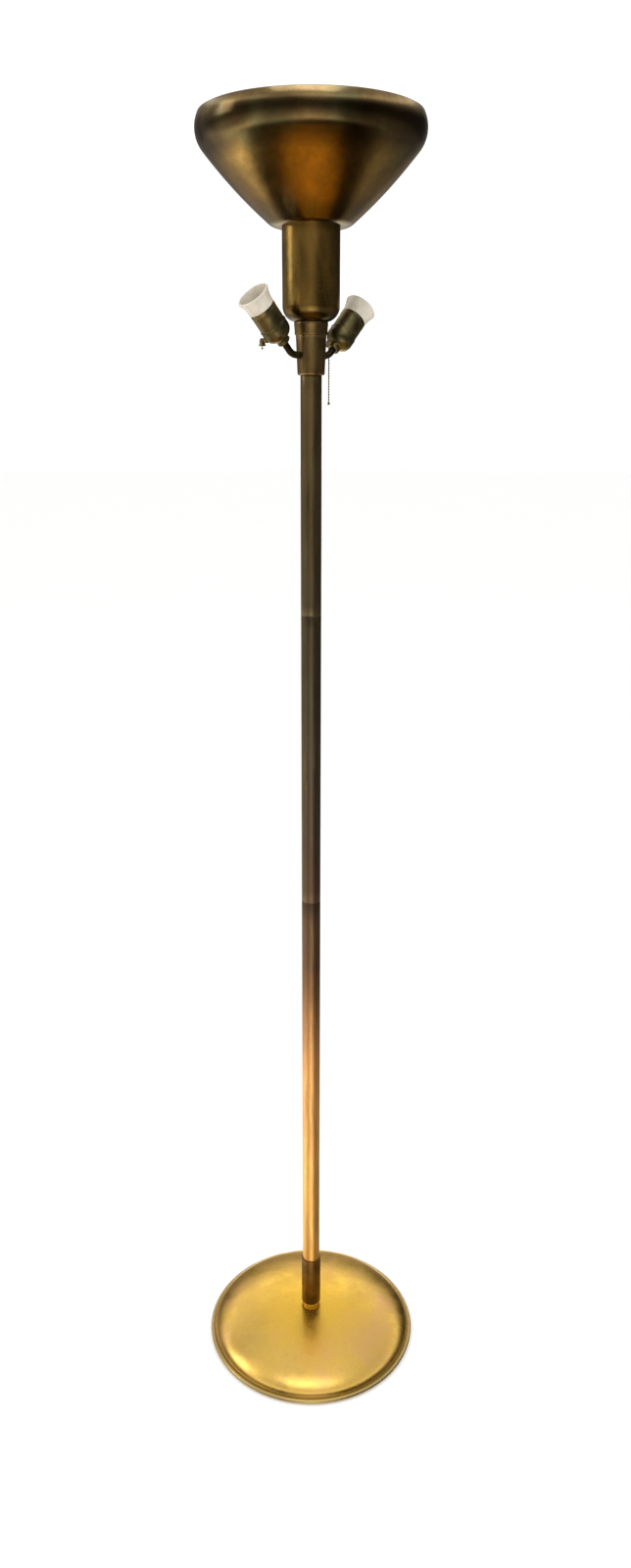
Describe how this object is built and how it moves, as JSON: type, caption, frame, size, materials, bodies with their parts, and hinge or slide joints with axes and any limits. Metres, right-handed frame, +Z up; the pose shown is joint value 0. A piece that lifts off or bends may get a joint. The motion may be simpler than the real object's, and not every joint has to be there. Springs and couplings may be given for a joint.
{
  "type": "torchiere floor lamp",
  "caption": "Floor lamp with an uplight bowl over a large lampholder, angled side lampholders worked by bead-chain pulls, a slim sectional column and a weighted round base.",
  "frame": {"origin": "on the floor, on the column's axis", "axes": "+Z up along the column; -Y is the front, +Y the back where the cord inlet is; the right-hand arm leans towards +X and +Y"},
  "size_m": [0.31, 0.31, 1.662],
  "materials": {
    "bowl_bronze": "aged satin",
    "husk_brass": "aged satin",
    "neck_brass": "aged satin",
    "column_brass": "aged satin, tarnished in the middle",
    "sleeve_bronze": "dark aged",
    "base_brass": "polished satin",
    "ring_brass": "polished",
    "arm_bronze": "dark aged",
    "socket_brass": "dark aged",
    "outlet_brass": "aged",
    "chain_brass": "aged",
    "contact_brass": "bright",
    "plain_brass": "dull",
    "collar_ceramic": "glazed ivory",
    "white_porcelain": "unglazed white",
    "fibre": "grey-brown insulating fibre",
    "zinc_steel": "zinc plated",
    "base_iron": "rough cast",
    "green_felt": "felt",
    "bakelite": "moulded",
    "wire_cover": "rubber and cotton cover"
  },
  "bodies": {
    "lamp": {"base_felt": "green_felt", "base_weight": "base_iron", "base_shell": "base_brass", "cord_bushing": "bakelite", "base_locknut": "zinc_steel", "base_washer": "zinc_steel", "seating_ring": "ring_brass", "foot_sleeve": "sleeve_bronze", "center_pipe": "zinc_steel", "lower_tube": "column_brass", "middle_tube": "column_brass", "upper_tube": "column_brass", "lower_coupling": "plain_brass", "upper_coupling": "plain_brass", "leads": "wire_cover", "cluster_body": "neck_brass", "cluster_cap": "neck_brass", "cluster_locknut": "zinc_steel", "cap_locknut": "zinc_steel", "cluster_nipple": "zinc_steel", "left_arm": "arm_bronze", "right_arm": "arm_bronze", "arm_locknuts": "zinc_steel", "neck_collar": "neck_brass", "husk": "husk_brass", "husk_locknut": "zinc_steel", "mogul_bracket": "contact_brass", "mogul_mount_screws": "zinc_steel", "mogul_porcelain": "white_porcelain", "mogul_screw_shell": "contact_brass", "mogul_center_contact": "contact_brass", "mogul_terminal_screws": "contact_brass", "bowl_fitter_ring": "plain_brass", "bowl": "bowl_bronze", "bowl_clamp_ring": "plain_brass", "bowl_screws": "zinc_steel", "left_cap": "socket_brass", "left_set_screw": "outlet_brass", "left_chain_outlet": "outlet_brass", "left_shell": "socket_brass", "left_liner": "fibre", "left_switch_block": "white_porcelain", "left_screw_shell": "contact_brass", "left_contact": "contact_brass", "left_collar": "collar_ceramic", "right_cap": "socket_brass", "right_set_screw": "outlet_brass", "right_chain_outlet": "outlet_brass", "right_shell": "socket_brass", "right_liner": "fibre", "right_switch_block": "white_porcelain", "right_screw_shell": "contact_brass", "right_contact": "contact_brass", "right_collar": "collar_ceramic"},
    "right_pull": {"right_chain_top": "chain_brass"},
    "right_chain_length": {"right_chain": "chain_brass"},
    "right_switch_drum": {"right_drum": "zinc_steel"},
    "left_pull": {"left_chain": "chain_brass"},
    "left_switch_drum": {"left_drum": "zinc_steel"}
  },
  "joints": [
    {"name": "right_pull", "type": "slide", "parent": "lamp", "child": "right_pull", "axis": [0, 0, -1], "range_m": [0, 0.005], "stiffness_N_per_m": 200, "springref_m": -0.0025},
    {"name": "right_chain_swing", "type": "hinge", "parent": "right_pull", "child": "right_chain_length", "pos_m": [0.02138, 0.044, 1.42671], "axis": [-0.6293, 0.7771, 0], "range_deg": [-30, 30]},
    {"name": "right_drum_turn", "type": "hinge", "parent": "lamp", "child": "right_switch_drum", "pos_m": [0.03384, 0.0274, 1.43326], "axis": [0.6689, 0.3403, -0.6609], "range_deg": [0, 58]},
    {"name": "left_pull", "type": "slide", "parent": "lamp", "child": "left_pull", "axis": [0, 0, -1], "range_m": [0, 0.005], "stiffness_N_per_m": 200, "springref_m": -0.0025},
    {"name": "left_drum_turn", "type": "hinge", "parent": "lamp", "child": "left_switch_drum", "pos_m": [-0.03928, -0.03181, 1.43876], "axis": [0.0006, 0.8698, 0.4933], "range_deg": [0, 58]}
  ],
  "couplings": [
    {"joint": "right_drum_turn", "follows": "right_pull", "rad_per_m": 200},
    {"joint": "left_drum_turn", "follows": "left_pull", "rad_per_m": 200}
  ]
}
